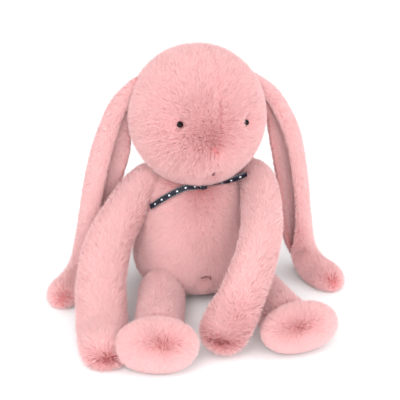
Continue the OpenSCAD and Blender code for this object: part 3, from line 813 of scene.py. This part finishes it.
NECK, NECK_R = np.array([0.0, -0.004, 0.120]), 0.018
BAND_Z, BAND_HALF = 0.121, 0.006
rings = [
    NECK + NECK_R * np.stack([np.sin(p) * np.cos(around), np.sin(p) * np.sin(around), np.full(56, math.cos(p))], 1)
    for p in np.radians(np.linspace(4, 176, 40))
]
neck = wrapped("neck_plush", rings)
neck.data.materials.append(backing_finish)
co = points_of(neck)
groomed(neck, np.zeros_like(co), 1.0, np.abs(co[:, 2] - BAND_Z) < BAND_HALF)
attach(neck, "torso")
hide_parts("neck_wad")
pile = grow_pile(neck, "neck_pile", 6000, 0.005, 73)
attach(pile, "torso")

# ---- Eyes ----
# Small glossy domes of black moulded plastic. Each has a post through the cloth, held by a washer inside.


def moulded_black():
    """Black plastic with a faint mould texture, dulled by fine handling marks."""
    material, n, shader = finish("Black moulded plastic", 0.15, 0.2)
    place = n.add("ShaderNodeTexCoord").outputs["Object"]
    smear = n.add("ShaderNodeTexNoise", Vector=place, Scale=500.0, Detail=4.0).outputs[0]
    fine = n.add("ShaderNodeTexNoise", Vector=place, Scale=4000.0, Detail=2.0).outputs[0]
    n.tree.links.new(n.blend(smear, (0.002, 0.002, 0.002), (0.005, 0.0045, 0.005)), shader.inputs["Base Color"])
    n.tree.links.new(n.math("MULTIPLY_ADD", smear, 0.16, 0.05), shader.inputs["Roughness"])
    bump = n.add("ShaderNodeBump", Strength=0.08, Distance=0.00005, Height=fine)
    n.tree.links.new(bump.outputs[0], shader.inputs["Normal"])
    return material


def turned(name, profile, at, out, sides=48):
    """A round piece over a profile of radii and heights, standing on a point."""
    spin = np.linspace(0, 2 * math.pi, sides, endpoint=False)
    frame_of = Vector(out).to_track_quat("Z", "Y").to_matrix()
    rings = np.array([np.stack([r * np.cos(spin), r * np.sin(spin), np.full(sides, h)], 1) for r, h in profile])
    return wrapped(name, rings @ np.array(frame_of).T + np.asarray(at))


black_plastic = moulded_black()
EYE_R, EYE_RISE, EYE_FOOT = 0.0029, 0.0042, 0.0003
dome = [
    (EYE_R * math.cos(a), EYE_FOOT + EYE_RISE * math.sin(a)) for a in np.radians(np.linspace(86, 0, 22))
]
post = [(0.0031, 0.0001), (0.0029, 0.0), (0.0018, 0.0), (0.0016, -0.0004), (0.0016, -0.0050), (0.0014, -0.0060)]
for name, (at, out) in eyes.items():
    eye = turned(f"eye_{name}", dome + post, at, out)
    eye.data.materials.append(black_plastic)
    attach(eye, "head")
    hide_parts(f"eye_{name}")

# ---- Stitches ----
# The nose is one short upright stitch of laid thread under the muzzle; the navel is a low arch on the belly.


def laid_thread():
    """Rose-brown embroidery thread: two strands laid in a twist, with loose fibres between."""
    material, n, shader = finish("Rose-brown thread", 0.6, 0.3, sheen=0.3)
    uv = n.add("ShaderNodeUVMap", {"uv_map": "UVMap"}).outputs[0]
    xyz = n.add("ShaderNodeSeparateXYZ", i0=uv)
    lay = n.math("ADD", n.math("MULTIPLY", xyz.outputs[0], 3.0), n.math("MULTIPLY", xyz.outputs[1], 9.0))
    groove = n.math("ABSOLUTE", n.math("SUBTRACT", n.math("FRACT", lay), 0.5))
    fibre = n.add("ShaderNodeTexNoise", Vector=uv, Scale=60.0, Detail=3.0).outputs[0]
    depth = n.math("MULTIPLY_ADD", fibre, 0.3, groove)
    # The grooves between the strands are darker, painted shade; the fibre noise adds a random change of tone.
    n.tree.links.new(n.blend(depth, (0.36, 0.13, 0.14), (0.12, 0.03, 0.035)), shader.inputs["Base Color"])
    bump = n.add("ShaderNodeBump", Strength=0.7, Distance=0.0002, Height=n.math("SUBTRACT", 1.0, depth))
    n.tree.links.new(bump.outputs[0], shader.inputs["Normal"])
    return material


def thread(name, line, radius):
    """A laid thread along a line, drawn in a little at both ends."""
    t = headings(line)
    up = np.tile([0.35, 0.2, 0.9], (len(line), 1))
    up = unit(up - (up * t).sum(1, keepdims=True) * t)
    out = np.cross(t, up)
    a = np.linspace(0, 2 * math.pi, 20, endpoint=False)
    where = np.linspace(0, 1, len(line))
    rings = []
    for i in range(len(line)):
        r = radius * (1 + 0.10 * np.cos(2 * a + 18 * where[i])) * (0.75 + 0.25 * math.sin(math.pi * where[i]))
        rings.append(line[i] + np.outer(r * np.cos(a), up[i]) + np.outer(r * np.sin(a), out[i]))
    piece = wrapped(name, rings)
    piece.data.materials.append(thread_finish)
    return piece


thread_finish = laid_thread()
steps = np.linspace(-1, 1, 25)
line = np.array([on_face(4, -38 + 3.2 * v, 0.0020 + 0.0050 * (1 - v**4))[0] for v in steps])
stitch = thread("nose_stitch", line, 0.0010)
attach(stitch, "head")
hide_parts("nose_stitch")

sweep = np.linspace(-0.10, 0.85, 31) * math.pi
line = np.stack([
    -0.0040 + 0.0052 * np.cos(sweep),
    np.full(31, -0.0640) + 0.0030 * np.cos(sweep) ** 4,
    0.0315 + 0.0042 * np.sin(sweep),
], 1)
stitch = thread("navel_stitch", line, 0.0007)
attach(stitch, "torso")
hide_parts("navel_stitch")

# ---- Inside the toy ----
# The cotton bag of pellets in the seat and the eyes' white lock washers keep their CAD shapes.


def pellet_cotton():
    """Undyed cotton, plain weave, pushed out in round lumps by the pellets behind it."""
    material, n, shader = finish("Cotton pellet bag", 0.9, 0.2, sheen=0.2)
    place = n.add("ShaderNodeTexCoord").outputs["Object"]
    warp = n.add("ShaderNodeTexWave", {"bands_direction": "X"}, Vector=place, Scale=420.0).outputs["Fac"]
    weft = n.add("ShaderNodeTexWave", {"bands_direction": "Z"}, Vector=place, Scale=420.0).outputs["Fac"]
    lump = n.add("ShaderNodeTexVoronoi", Vector=place, Scale=260.0).outputs["Distance"]
    weave = n.math("MULTIPLY", warp, weft)
    # The gaps of the weave are darker than the raised threads: painted shade.
    n.tree.links.new(n.blend(weave, (0.66, 0.63, 0.55), (0.80, 0.78, 0.72)), shader.inputs["Base Color"])
    bump = n.add("ShaderNodeBump", Strength=0.6, Distance=0.0006,
                 Height=n.math("MULTIPLY_ADD", lump, -1.5, n.math("MULTIPLY", weave, 0.3)))
    n.tree.links.new(bump.outputs[0], shader.inputs["Normal"])
    return material


def moulded_white():
    """White moulded plastic with flow marks from the mould."""
    material, n, shader = finish("White moulded plastic", 0.4, 0.4)
    place = n.add("ShaderNodeTexCoord").outputs["Object"]
    flow = n.add("ShaderNodeTexNoise", Vector=place, Scale=220.0, Detail=3.0, Distortion=1.5).outputs[0]
    n.tree.links.new(n.blend(flow, (0.72, 0.72, 0.71), (0.84, 0.84, 0.83)), shader.inputs["Base Color"])
    n.tree.links.new(n.math("MULTIPLY_ADD", flow, 0.25, 0.30), shader.inputs["Roughness"])
    bump = n.add("ShaderNodeBump", Strength=0.15, Distance=0.0001, Height=flow)
    n.tree.links.new(bump.outputs[0], shader.inputs["Normal"])
    return material


cotton, white_plastic = pellet_cotton(), moulded_white()
for name, finish_of in (
    ("seat_pellet_bag", cotton), ("eye_washer_left", white_plastic), ("eye_washer_right", white_plastic),
):
    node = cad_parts[name]
    node.data.materials.clear()
    node.data.materials.append(finish_of)

# ---- Studio ----
# A plain pale floor under even white light, with a large soft lamp high on the rabbit's right.

floor_mesh = bpy.data.meshes.new("floor")
floor_mesh.from_pydata([(-6, -6, 0), (6, -6, 0), (6, 6, 0), (-6, 6, 0)], [], [(0, 1, 2, 3)])
floor = bpy.data.objects.new("floor", floor_mesh)
bpy.context.collection.objects.link(floor)
paper, n, shader = finish("White paper sweep", 0.9, 0.1)
grain = n.add("ShaderNodeTexNoise", Vector=n.add("ShaderNodeTexCoord").outputs["Object"], Scale=40.0)
n.tree.links.new(n.blend(grain.outputs[0], (0.925, 0.945, 0.95), (0.94, 0.96, 0.965)), shader.inputs["Base Color"])
floor_mesh.materials.append(paper)

world = bpy.data.worlds.new("Studio")
bpy.context.scene.world = world
world.use_nodes = True
world.node_tree.nodes["Background"].inputs[0].default_value = (1, 1, 1, 1)
world.node_tree.nodes["Background"].inputs[1].default_value = 1.02
for name, place, aim, size, power in (
    ("Key lamp", (-1.1, -1.3, 1.7), (0, 0, 0.1), 1.2, 14.0),
    ("Front lamp", (-0.3, -2.0, 0.75), (0, 0, 0.08), 1.4, 27.0),
    ("Fill lamp", (1.4, -1.2, 1.0), (0, 0, 0.1), 1.4, 8.0),
):
    lamp = bpy.data.objects.new(name, bpy.data.lights.new(name, "AREA"))
    lamp.data.size = size
    lamp.data.energy = power
    lamp.location = place
    lamp.rotation_euler = (Vector(aim) - Vector(place)).to_track_quat("-Z", "Y").to_euler()
    bpy.context.collection.objects.link(lamp)
